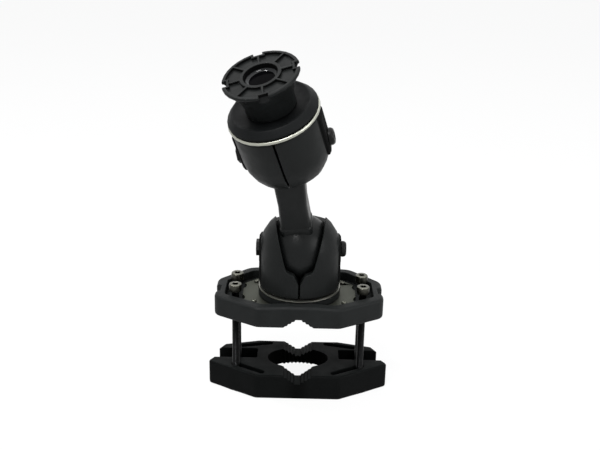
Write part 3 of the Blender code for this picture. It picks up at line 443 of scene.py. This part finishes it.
def brushed_metal(name, colour, roughness, stretch, metallic=1.0, gloss=PLAIN_GLOSS):
    """Metal with drawn scratches along one direction and patches of handling."""
    shader = Shader(name, roughness, metallic, gloss)
    streaks = shader.noise(*STREAK_NOISE, stretch)
    handling = shader.spread(shader.noise(*HANDLING_NOISE), 0.0, 1.0)
    body = shader.mix(handling, tint(colour, HANDLED), colour)
    rounded, wear = shader.worn_edges(METAL_WORN_EDGE)
    shader.put(shader.mix(wear, body, tint(colour, METAL_WORN)), "Base Color")
    sheen = shader.spread(streaks, roughness - STREAK_BELOW, roughness + STREAK_ABOVE)
    shader.put(sheen, "Roughness")
    shader.put(shader.bump(streaks, STREAK_STRENGTH, STREAK_HEIGHT, rounded), "Normal")
    return shader.material


def bolt_metal(name, head, shank, neck_z):
    """Bolt steel: painted light on top of the head, painted shade on its side, painted glints on
    worn edges, painted shade in creases, and blackened below the head.
    """
    shader = Shader(name, BOLT_ROUGHNESS, 1.0)
    streaks = shader.noise(*STREAK_NOISE, BOLT_STREAKS)
    height = shader.add("ShaderNodeSeparateXYZ")
    shader.link(shader.place, height.inputs["Vector"])
    above = shader.spread(height.outputs["Z"], 0.0, 1.0, neck_z, neck_z + BOLT_NECK_BLEND)
    patches = shader.spread(shader.noise(*PATCH_NOISE), 0.0, 1.0)
    # Painted light on the top of the head, painted shade on its side.
    top = shader.spread(shader.facing_axis(UP), 0.0, 1.0, *BOLT_LIT_TOP_FACES)
    side = shader.mix(patches, tint(head, BOLT_SHADED_SIDE_LOW), tint(head, BOLT_SHADED_SIDE_HIGH))
    painted_light_and_shade = shader.mix(top, side, tint(head, BOLT_PAINTED_TOP_LIGHT))
    body = shader.mix(above, shader.mix(patches, tint(shank, SHANK_PATCH), shank), painted_light_and_shade)
    rounded, wear = shader.worn_edges(METAL_WORN_EDGE)
    # Worn edges of the head, paler partly by wear and partly as painted glints.
    worn = shader.mix(shader.times(wear, above), body, tint(head, BOLT_WEAR_AND_GLINT))
    # Painted shade: creases round the bolt fall towards the shank's darkened colour.
    crease_shaded = shader.mix(shader.creases(CREASE_DEPTH), tint(shank, SHANK_CREASE_SHADE), worn)
    shader.put(crease_shaded, "Base Color")
    shader.put(shader.spread(streaks, *BOLT_STREAK_ROUGHNESS), "Roughness")
    shader.put(shader.bump(streaks, STREAK_STRENGTH, STREAK_HEIGHT, rounded), "Normal")
    return shader.material


def dress(material, *names):
    for name in names:
        node = frame["nodes"][name]
        node.data.materials.clear()
        node.data.materials.append(material)


def node_group(name):
    group = bpy.data.node_groups.new(name, "GeometryNodeTree")
    for way in ("INPUT", "OUTPUT"):
        group.interface.new_socket("Geometry", in_out=way, socket_type="NodeSocketGeometry")
    return group, group.nodes.new("NodeGroupInput"), group.nodes.new("NodeGroupOutput")


def over(group, value, threshold):
    node = group.nodes.new("FunctionNodeCompare")
    node.data_type = "FLOAT"
    node.operation = "GREATER_THAN"
    node.inputs[1].default_value = threshold
    group.links.new(value, node.inputs[0])
    return node.outputs[0]


def make_weights_group():
    """Marks the outward edges that are long enough to be rounded."""
    group, source, result = node_group("edges_to_round")
    turn = group.nodes.new("GeometryNodeInputMeshEdgeAngle")
    ends = group.nodes.new("GeometryNodeInputMeshEdgeVertices")
    length = group.nodes.new("ShaderNodeVectorMath")
    length.operation = "DISTANCE"
    group.links.new(ends.outputs["Position 1"], length.inputs[0])
    group.links.new(ends.outputs["Position 2"], length.inputs[1])
    both = group.nodes.new("FunctionNodeBooleanMath")
    both.operation = "AND"
    group.links.new(over(group, turn.outputs["Signed Angle"], SHARP), both.inputs[0])
    group.links.new(over(group, length.outputs["Value"], LEAST_EDGE), both.inputs[1])
    store = group.nodes.new("GeometryNodeStoreNamedAttribute")
    store.data_type = "FLOAT"
    store.domain = "EDGE"
    store.inputs["Name"].default_value = "bevel_weight_edge"
    group.links.new(source.outputs[0], store.inputs["Geometry"])
    group.links.new(both.outputs[0], store.inputs["Value"])
    group.links.new(store.outputs[0], result.inputs[0])
    return group


def make_smooth_group():
    """Smooth shading, apart from edges that turn by more than the sharp angle."""
    group, source, result = node_group("smooth_by_angle")
    turn = group.nodes.new("GeometryNodeInputMeshEdgeAngle")
    shade = group.nodes.new("GeometryNodeSetMeshNormal")
    shade.mode = "SHARPNESS"
    shade.inputs["Remove Custom"].default_value = True
    shade.inputs["Face Sharpness"].default_value = False
    sharp = over(group, turn.outputs["Unsigned Angle"], SHARP)
    group.links.new(sharp, shade.inputs["Edge Sharpness"])
    group.links.new(source.outputs[0], shade.inputs[0])
    group.links.new(shade.outputs[0], result.inputs[0])
    return group


def soften(width, *names):
    """Rounds the outward edges of CAD nodes and smooths their shading, by modifiers alone."""
    for name in names:
        node = frame["nodes"][name]
        weld = node.modifiers.new("weld", "WELD")
        weld.merge_threshold = WELD_WITHIN
        flat = node.modifiers.new("flat", "DECIMATE")
        flat.decimate_type = "DISSOLVE"
        flat.angle_limit = FLAT
        node.modifiers.new("marks", "NODES").node_group = weights_group
        bevel = node.modifiers.new("edges", "BEVEL")
        bevel.width = width
        bevel.segments = EDGE_SEGMENTS
        bevel.limit_method = "WEIGHT"
        bevel.use_clamp_overlap = False
        node.modifiers.new("smooth", "NODES").node_group = smooth_group
        node.modifiers.new("weighted", "WEIGHTED_NORMAL").keep_sharp = True


def hex_radius(across, turn):
    """Distance from a hexagon's centre to its outline in a direction, with a corner at 0."""
    return across / 2 / math.cos(turn % math.radians(60) - math.radians(30))


def turn_rings(builder, rings, segments=SEGMENTS, closed=False):
    """Skins rings of (radius, height), each a number or a function of the angle, about +Z."""
    loops = []
    for radius, height in rings:
        loop = []
        for step in range(segments):
            turn = 2 * math.pi * step / segments
            r = radius(turn) if callable(radius) else radius
            z = height(turn) if callable(height) else height
            loop.append(builder.verts.new((r * math.cos(turn), r * math.sin(turn), z)))
        loops.append(loop)
    pairs = list(zip(loops, loops[1:]))
    if closed:
        pairs.append((loops[-1], loops[0]))
    for low, high in pairs:
        for step in range(segments):
            builder.faces.new((low[step - 1], low[step], high[step], high[step - 1]))
    if not closed:
        builder.faces.new(list(reversed(loops[0])))
        builder.faces.new(loops[-1])


def hex_socket(head_h, across, depth):
    """Rings of a hexagon socket, from the head's top down to the point below the socket's floor."""
    return [
        (lambda turn: hex_radius(across, turn) + SOCKET_CHAMFER, head_h),
        (lambda turn: hex_radius(across, turn), head_h - SOCKET_CHAMFER),
        (lambda turn: hex_radius(across, turn), head_h - depth),
        (SOCKET_POINT_R * across, head_h - SOCKET_POINT_DEPTH * depth),
    ]


def button_head(builder, low, head_r):
    """A cross screw: a shank from low up to z = 0, and a domed head with a hexagon socket above."""
    rings = [
        (CROSS_R - CROSS_TIP, low),
        (CROSS_R, low + CROSS_TIP),
        (CROSS_R, 0.0),
        (head_r - CROSS_BRIM, 0.0),
        (head_r, CROSS_BRIM),
    ]
    for share in DOME_STEPS:
        lean = math.radians(90 * share)
        radius = head_r - DOME_NARROWS * head_r * (1 - math.cos(lean))
        rise = (1 - DOME_FROM) * CROSS_HEAD_H * math.sin(lean)
        rings.append((radius, DOME_FROM * CROSS_HEAD_H + rise))
    turn_rings(builder, rings + hex_socket(CROSS_HEAD_H, CROSS_HEX, CROSS_HEX_DEPTH))


def cap_head(builder, head_r):
    """A jaw bolt's plain shank up to z = 0, and its knurled head with a hexagon socket above."""
    edge = CAP_EDGE * BOLT_HEAD_H
    top_edge = [
        (head_r - inward * edge - KNURL, BOLT_HEAD_H - down * edge)
        for inward, down in CAP_EDGE_RINGS
    ]

    def ridged(turn):
        return head_r - KNURL * (0.5 + 0.5 * math.cos(SEGMENTS / 2 * turn))

    turn_rings(builder, [
        (BOLT_R - 2 * BOLT_CHAMFER, -BOLT_PLAIN),
        (BOLT_R, -BOLT_PLAIN + 2 * BOLT_CHAMFER),
        (BOLT_R, -BOLT_CHAMFER),
        (BOLT_R + BOLT_CHAMFER, 0.0),
        (head_r - KNURL - BOLT_CHAMFER, 0.0),
        (ridged, BOLT_CHAMFER),
        (ridged, BOLT_HEAD_H - CAP_KNURL_TO * edge),
        *top_edge,
        *hex_socket(BOLT_HEAD_H, BOLT_HEX, BOLT_HEX_DEPTH),
    ])


def thread(builder, low, high):
    """A helical ridge round a jaw bolt's core; its open ends lie inside plain parts of it."""
    turns = int((high - low) / THREAD_PITCH)
    points = []
    for row in range(turns * len(THREAD_ROWS) + 1):
        turn_number, part = divmod(row, len(THREAD_ROWS))
        below_crest, rise = THREAD_ROWS[part]
        radius = BOLT_R - below_crest * THREAD_DEPTH
        line = []
        for step in range(THREAD_SEGMENTS + 1):
            share = step / THREAD_SEGMENTS
            z = low + THREAD_PITCH * (turn_number + rise + share - 1)
            turn = 2 * math.pi * share
            line.append(builder.verts.new((radius * math.cos(turn), radius * math.sin(turn), z)))
        points.append(line)
    for lower, upper in zip(points, points[1:]):
        for step in range(THREAD_SEGMENTS):
            builder.faces.new((lower[step], lower[step + 1], upper[step + 1], upper[step]))
    bmesh.ops.remove_doubles(builder, verts=builder.verts, dist=THREAD_WELD)


def new_piece(name, builder, place, materials, body, node):
    """Makes a shown piece that stands for a CAD node and moves with its body."""
    bmesh.ops.recalc_face_normals(builder, faces=builder.faces)
    mesh = bpy.data.meshes.new(name)
    builder.to_mesh(mesh)
    builder.free()
    mesh.transform(place)
    mesh.shade_smooth()
    mesh.set_sharp_from_angle(angle=SHARP)
    for material in materials:
        mesh.materials.append(material)
    piece = bpy.data.objects.new(name, mesh)
    bpy.context.scene.collection.objects.link(piece)
    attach(piece, body)
    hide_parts(node)


def along(axis, point, distance):
    """Where a piece built about +Z goes, to lie along an axis at a distance from a point on it."""
    direction = Vector(axis).normalized()
    turn = direction.to_track_quat("Z", "Y").to_matrix().to_4x4()
    return Matrix.Translation(Vector(point) + direction * distance) @ turn


def reach(name, axis, point):
    """How far a CAD node reaches along an axis through a point, low and high, and its radius."""
    direction = Vector(axis).normalized()
    offsets = [vertex.co - Vector(point) for vertex in frame["nodes"][name].data.vertices]
    heights = [offset.dot(direction) for offset in offsets]
    radius = max((offset - direction * offset.dot(direction)).length for offset in offsets)
    return min(heights), max(heights), radius


def joint(name):
    return next(entry for entry in frame["joints"] if entry["name"] == name)


def build_jaw_bolts(material):
    for number in FASTENER_NUMBERS:
        node = f"jaw_bolt_{number}"
        turn = joint(f"bolt_{number}_turn")
        low, high, head_r = reach(node, UP, turn["pos_m"])
        neck = high - BOLT_HEAD_H
        tip = low - neck
        builder = bmesh.new()
        cap_head(builder, head_r)
        thread(builder, tip + THREAD_ABOVE_TIP, -BOLT_PLAIN + THREAD_INTO_PLAIN)
        tip_rings = [(share * BOLT_R, tip + rise) for share, rise in BOLT_TIP_RINGS]
        turn_rings(builder, tip_rings, THREAD_SEGMENTS)
        place = along(UP, turn["pos_m"], neck)
        name = f"bolt_{number}_detailed"
        new_piece(name, builder, place, [material], f"bolt_{number}", node)


def build_jaw_nuts(material):
    for number in FASTENER_NUMBERS:
        node = f"jaw_nut_{number}"
        low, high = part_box(node)
        across = high[1] - low[1]
        height = high[2] - low[2]
        flat_r = NUT_FLAT_R * across

        def side(turn):
            return hex_radius(across, turn)

        def drop(turn):
            return NUT_SLOPE * (hex_radius(across, turn) - flat_r)

        builder = bmesh.new()
        turn_rings(builder, [
            (NUT_BORE_R, NUT_CHAMFER),
            (NUT_BORE_R + NUT_CHAMFER, 0.0),
            (flat_r, 0.0),
            (side, drop),
            (side, lambda turn: height - drop(turn)),
            (flat_r, height),
            (NUT_BORE_R + NUT_CHAMFER, height),
            (NUT_BORE_R, height - NUT_CHAMFER),
        ], closed=True)
        middle = ((low[0] + high[0]) / 2, (low[1] + high[1]) / 2, low[2])
        place = Matrix.Translation(middle)
        new_piece(f"nut_{number}_detailed", builder, place, [material], "jaw", node)


def build_cross_screws(material):
    for word in ("turret", "head"):
        node = f"{word}_screw"
        turn = joint(f"{node}_turn")
        low, high, head_r = reach(node, turn["axis"], turn["pos_m"])
        neck = high - CROSS_HEAD_H
        builder = bmesh.new()
        button_head(builder, low - neck, head_r)
        place = along(turn["axis"], turn["pos_m"], neck)
        new_piece(f"{node}_detailed", builder, place, [material], node, node)


def cross_recess(turn):
    """Radius of the cross recess in a plate screw, in a direction."""
    arms = abs(math.cos(2 * turn)) ** PLATE_RECESS_POWER
    return PLATE_RECESS * (PLATE_RECESS_NECK + (1 - PLATE_RECESS_NECK) * arms)


def build_plate_screws(material):
    wall, wall_depth = PLATE_RECESS_WALL
    floor, floor_depth = PLATE_RECESS_FLOOR
    for number in FASTENER_NUMBERS:
        node = f"plate_screw_{number}"
        low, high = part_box(node)
        head_r = (high[0] - low[0]) / 2
        shank = high[2] - low[2] - PLATE_HEAD_H

        def lip(turn):
            return min(cross_recess(turn) + PLATE_RECESS_LIP, PLATE_RECESS_WIDEST * head_r)

        builder = bmesh.new()
        turn_rings(builder, [
            (PLATE_TIP * head_r, -shank),
            (PLATE_SHANK * head_r, -shank + PLATE_TIP_H),
            (PLATE_SHANK * head_r, 0.0),
            (head_r - PLATE_BRIM, 0.0),
            *[(share * head_r, rise * PLATE_HEAD_H) for share, rise in PLATE_HEAD_RINGS],
            (lip, PLATE_HEAD_H),
            (lambda turn: wall * cross_recess(turn), PLATE_HEAD_H - wall_depth),
            (lambda turn: floor * cross_recess(turn), PLATE_HEAD_H - floor_depth),
        ], PLATE_SEGMENTS)
        middle = ((low[0] + high[0]) / 2, (low[1] + high[1]) / 2, high[2] - PLATE_HEAD_H)
        place = Matrix.Translation(middle)
        new_piece(f"{node}_detailed", builder, place, [material], "base", node)


def build_plug(face_finish, rim_finish):
    """The sunk plug: a polished rim, painted paler as a sheen, round a dished face, turned finely
    enough for its gloss.
    """
    swivel = joint("head_swivel")
    low, _, radius = reach("centre_plug", swivel["axis"], swivel["pos_m"])
    _, face, _ = reach("lock_disc", swivel["axis"], swivel["pos_m"])
    rim = face - PLUG_RIM_DEPTH - low
    floor = face - PLUG_FLOOR_DEPTH - low
    steepest = math.acos(1 - (rim - floor) / PLUG_FILLET)
    dish_r = radius - PLUG_RIM_W - PLUG_FILLET * math.sin(steepest)
    rings = [
        (radius - PLUG_FOOT, 0.0),
        (radius, PLUG_FOOT),
        (radius, rim - PLUG_BRIM),
        (radius - PLUG_BRIM, rim),
    ]
    for step in range(PLUG_FILLET_STEPS + 1):
        slope = steepest * (1 - step / PLUG_FILLET_STEPS)
        inner = dish_r + PLUG_FILLET * math.sin(slope)
        rings.append((inner, floor + PLUG_FILLET * (1 - math.cos(slope))))
    rings += [(share * dish_r, floor + rise) for share, rise in PLUG_CROWN]
    builder = bmesh.new()
    turn_rings(builder, rings, PLUG_SEGMENTS)
    for part in builder.faces:
        part.material_index = int(part.calc_center_median().xy.length > dish_r + PLUG_RIM_IN)
    place = along(swivel["axis"], swivel["pos_m"], low)
    finishes = [face_finish, rim_finish]
    new_piece("plug_detailed", builder, place, finishes, "head", "centre_plug")


def side_pads(joint_name, start):
    """Marks the flat pads on both sides of a turret, beyond a distance along its cross screw, for
    painted shade.
    """
    screw = joint(joint_name)

    def mask(shader):
        distance = shader.along_axis(screw["pos_m"], screw["axis"])
        return shader.spread(distance, 0.0, 1.0, start, start + PAD_BLEND)

    return mask


def jaw_hole(shader):
    """Marks the upright walls of the hole through the lower jaw, for painted shade."""
    radius = shader.from_axis((0, 0, 0), UP)
    middle = shader.spread(radius, 1.0, 0.0, JAW_HOLE_TO, JAW_HOLE_TO + JAW_HOLE_BLEND)
    return shader.times(middle, shader.spread(shader.facing_axis(UP), 1.0, 0.0, *JAW_HOLE_WALLS))


def disc_recesses(shader):
    """Marks the walls of the hole and of the pockets in the disc's face, for painted shade."""
    swivel = joint("head_swivel")
    _, face, _ = reach("lock_disc", swivel["axis"], swivel["pos_m"])
    radius = shader.from_axis(swivel["pos_m"], swivel["axis"])
    hole = shader.spread(radius, 1.0, 0.0, HOLE_WALL, HOLE_LIP)
    inside = shader.spread(radius, 1.0, 0.0, POCKETS_TO, POCKETS_TO + POCKETS_BLEND)
    height = shader.along_axis(swivel["pos_m"], swivel["axis"])
    deepest = face - POCKETS_DEEP
    in_face = shader.spread(height, 0.0, 1.0, deepest - POCKETS_DEEP_BLEND, deepest)
    walls = shader.spread(shader.facing_axis(swivel["axis"]), 1.0, 0.0, *POCKET_WALLS)
    return shader.maths("MAXIMUM", hole, shader.times(shader.times(inside, in_face), walls))


def dress_plastics():
    lower_jaw = moulded_plastic("lower_jaw_black", LOWER_JAW_BLACK, roughness=0.5, gloss=0.035,
                                crease_shade=0.6, dust_and_top_light=2.3, painted_shade_region=jaw_hole)
    dress(lower_jaw, "lower_jaw")
    upper_jaw = moulded_plastic("upper_jaw_charcoal", UPPER_JAW_CHARCOAL, roughness=0.5, gloss=0.09)
    dress(upper_jaw, "upper_jaw", "turret_flange")
    for word, start in (("turret", TURRET_PAD_FROM), ("head", HEAD_PAD_FROM)):
        shell = moulded_plastic(f"{word}_charcoal", SHELL_CHARCOAL, roughness=0.44, gloss=0.1,
                                painted_shade_region=side_pads(f"{word}_screw_turn", start))
        dress(shell, f"{word}_shell_left", f"{word}_shell_right")
    arm = moulded_plastic("arm_black", ARM_BLACK, roughness=0.36, gloss=0.13, grain=0.15)
    dress(arm, "ball_arm")
    collar = moulded_plastic("collar_black", COLLAR_BLACK, roughness=0.5, gloss=0.08)
    dress(collar, "head_collar", "head_flange")
    disc = moulded_plastic("disc_grey", DISC_GREY, roughness=0.34, gloss=0.085, grain=0.35,
                           worn=1.7, crease=1.0 * MM, crease_shade=0.2, painted_shade_region=disc_recesses)
    dress(disc, "lock_disc")


def dress_metals():
    head_ring = brushed_metal("ring_silver", RING_SILVER, roughness=0.34, stretch=RING_STREAKS)
    dress(head_ring, "head_ring")
    # The lower ring is the head ring's silver, painted in shade.
    turret_ring = brushed_metal("ring_silver_shaded", RING_SILVER_SHADED, roughness=0.36, stretch=RING_STREAKS)
    dress(turret_ring, "turret_ring")
    plate = brushed_metal("plate_steel", PLATE_GREY, roughness=0.5, stretch=PLATE_STREAKS)
    dress(plate, "base_plate")
    brass = brushed_metal("bush_brass", BRASS, roughness=0.34, stretch=SCREW_STREAKS)
    dress(brass, "turret_bush", "head_bush")
    oxide = brushed_metal("black_oxide", OXIDE_BLACK, roughness=0.38, stretch=SCREW_STREAKS,
                          metallic=0.6, gloss=0.12)
    dress(oxide, "turret_nut", "head_nut")
    neck_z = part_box("jaw_bolt_1")[1][2] - BOLT_HEAD_H
    build_jaw_bolts(bolt_metal("bolt_steel", BOLT_HEAD_GREY, BOLT_SHANK_BLACK, neck_z))
    build_jaw_nuts(brushed_metal("nut_steel", NUT_GREY, roughness=0.32, stretch=BOLT_STREAKS))
    screw = brushed_metal("plate_screw_steel", PLATE_SCREW_GREY, roughness=0.36,
                          stretch=SCREW_STREAKS)
    build_plate_screws(screw)
    build_cross_screws(oxide)


def dress_plug():
    face = gloss_plastic("plug_gloss", PLUG_FACE_BLACK, gloss=0.006)
    build_plug(face, gloss_plastic("plug_rim_gloss", PLUG_RIM_PAINTED_SHEEN, gloss=0.14))


def area_light(name, place, side, power):
    data = bpy.data.lights.new(name, "AREA")
    data.shape = "RECTANGLE"
    data.size = data.size_y = side
    data.energy = power
    lamp = bpy.data.objects.new(name, data)
    lamp.location = place
    lamp.rotation_euler = (Vector(LAMPS_AIM) - Vector(place)).to_track_quat("-Z", "Y").to_euler()
    bpy.context.scene.collection.objects.link(lamp)


def white_to_the_eye(tree, lit, output_node, share):
    """Mixes a shader with plain white where camera, glossy or transmission rays meet it."""
    path = tree.nodes.new("ShaderNodeLightPath")
    seen = path.outputs["Is Camera Ray"]
    for ray in ("Is Glossy Ray", "Is Transmission Ray"):
        more = tree.nodes.new("ShaderNodeMath")
        more.operation = "MAXIMUM"
        tree.links.new(seen, more.inputs[0])
        tree.links.new(path.outputs[ray], more.inputs[1])
        seen = more.outputs["Value"]
    part = tree.nodes.new("ShaderNodeMath")
    part.operation = "MULTIPLY"
    part.inputs[1].default_value = share
    tree.links.new(seen, part.inputs[0])
    mix = tree.nodes.new("ShaderNodeMixShader")
    tree.links.new(part.outputs["Value"], mix.inputs["Fac"])
    tree.links.new(lit, mix.inputs[1])
    kind = "ShaderNodeBackground" if output_node.type == "OUTPUT_WORLD" else "ShaderNodeEmission"
    white = tree.nodes.new(kind)
    white.inputs["Color"].default_value = (1, 1, 1, 1)
    white.inputs["Strength"].default_value = 1.0
    tree.links.new(white.outputs[0], mix.inputs[2])
    tree.links.new(mix.outputs["Shader"], output_node.inputs["Surface"])


def build_floor():
    floor_z = cad_box[0][2]
    signs = ((-1, -1), (1, -1), (1, 1), (-1, 1))
    corners = [(sx * FLOOR_REACH, sy * FLOOR_REACH, floor_z) for sx, sy in signs]
    mesh = bpy.data.meshes.new("floor")
    mesh.from_pydata(corners, [], [(0, 1, 2, 3)])
    floor = bpy.data.objects.new("floor", mesh)
    bpy.context.scene.collection.objects.link(floor)
    pale = bpy.data.materials.new("pale_floor")
    pale.use_nodes = True
    tree = pale.node_tree
    shader = tree.nodes["Principled BSDF"]
    shader.inputs["Base Color"].default_value = FLOOR_COLOUR
    shader.inputs["Roughness"].default_value = FLOOR_ROUGHNESS
    white_to_the_eye(tree, shader.outputs["BSDF"], tree.nodes["Material Output"], FLOOR_WHITE)
    mesh.materials.append(pale)


def build_light():
    world = bpy.data.worlds.new("studio")
    world.use_nodes = True
    bpy.context.scene.world = world
    tree = world.node_tree
    ambient = tree.nodes["Background"]
    ambient.inputs["Color"].default_value = AMBIENT_COLOUR
    ambient.inputs["Strength"].default_value = AMBIENT_STRENGTH
    white_to_the_eye(tree, ambient.outputs["Background"], tree.nodes["World Output"], WORLD_WHITE)
    for lamp in LAMPS:
        area_light(*lamp)


def build_camera():
    data = bpy.data.cameras.new("photo_camera")
    data.sensor_fit = "HORIZONTAL"
    data.sensor_width = SENSOR_MM
    data.lens = SENSOR_MM * FOCAL_PX / PHOTO_WIDTH_PX
    data.clip_start = CAMERA_NEAR
    camera = bpy.data.objects.new("photo_camera", data)
    ahead = (LOOKS_AT - CAMERA_AT).normalized()
    right = ahead.cross(Vector(UP)).normalized()
    up = right.cross(ahead)
    turned_right = right * math.cos(CAMERA_ROLL) + up * math.sin(CAMERA_ROLL)
    turned_up = up * math.cos(CAMERA_ROLL) - right * math.sin(CAMERA_ROLL)
    axes = Matrix((turned_right, turned_up, -ahead)).transposed()
    camera.matrix_world = Matrix.Translation(CAMERA_AT) @ axes.to_4x4()
    bpy.context.scene.collection.objects.link(camera)
    bpy.context.scene.camera = camera


weights_group = make_weights_group()
smooth_group = make_smooth_group()
dress_plastics()
dress_metals()
dress_plug()
soften(MOULDED_EDGE, "upper_jaw", "lower_jaw", "ball_arm", "head_collar")
soften(MOULDED_EDGE, "turret_shell_left", "turret_shell_right")
soften(MOULDED_EDGE, "head_shell_left", "head_shell_right")
soften(FINE_EDGE, "lock_disc", "head_flange", "turret_flange")
soften(METAL_EDGE, "base_plate", "turret_nut", "head_nut", "turret_bush", "head_bush")
soften(RING_EDGE, "turret_ring", "head_ring")
build_floor()
build_light()
build_camera()
bpy.context.scene.view_settings.view_transform = "Standard"
